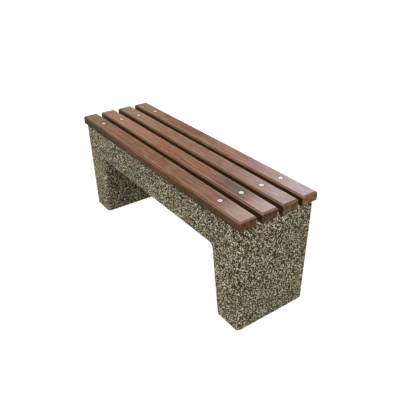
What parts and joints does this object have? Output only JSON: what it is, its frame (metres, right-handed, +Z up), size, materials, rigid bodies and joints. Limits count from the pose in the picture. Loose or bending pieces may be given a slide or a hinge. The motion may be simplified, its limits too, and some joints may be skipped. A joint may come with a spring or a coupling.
{
  "type": "garden bench",
  "caption": "Backless garden bench: a washed-concrete portal base with tapered legs carries stained timber slats, bolted down near both ends.",
  "frame": {"origin": "on the floor, under the middle of the bench", "axes": "+X along the bench, +Y from its front to its back, +Z up"},
  "size_m": [1.2, 0.35, 0.482],
  "materials": {
    "washed_concrete": "exposed aggregate, washed",
    "stained_hardwood": "planed and stained, satin",
    "zinc_steel": "zinc plated",
    "reinforcing_steel": "hot rolled, as delivered"
  },
  "bodies": {
    "root": {"concrete_base": "washed_concrete", "slat_front": "stained_hardwood", "slat_front_inner": "stained_hardwood", "slat_back_inner": "stained_hardwood", "slat_back": "stained_hardwood", "bolt_left_front": "zinc_steel", "socket_left_front": "zinc_steel", "bolt_right_front": "zinc_steel", "socket_right_front": "zinc_steel", "bolt_left_front_inner": "zinc_steel", "socket_left_front_inner": "zinc_steel", "bolt_right_front_inner": "zinc_steel", "socket_right_front_inner": "zinc_steel", "bolt_left_back_inner": "zinc_steel", "socket_left_back_inner": "zinc_steel", "bolt_right_back_inner": "zinc_steel", "socket_right_back_inner": "zinc_steel", "bolt_left_back": "zinc_steel", "socket_left_back": "zinc_steel", "bolt_right_back": "zinc_steel", "socket_right_back": "zinc_steel", "top_bar_front": "reinforcing_steel", "bottom_bar_front": "reinforcing_steel", "leg_bar_left_front": "reinforcing_steel", "leg_bar_right_front": "reinforcing_steel", "top_bar_back": "reinforcing_steel", "bottom_bar_back": "reinforcing_steel", "leg_bar_left_back": "reinforcing_steel", "leg_bar_right_back": "reinforcing_steel", "beam_link_1": "reinforcing_steel", "beam_link_2": "reinforcing_steel", "beam_link_3": "reinforcing_steel", "beam_link_4": "reinforcing_steel", "beam_link_5": "reinforcing_steel", "leg_tie_left_lower": "reinforcing_steel", "leg_tie_left_upper": "reinforcing_steel", "leg_tie_right_lower": "reinforcing_steel", "leg_tie_right_upper": "reinforcing_steel"}
  },
  "joints": []
}
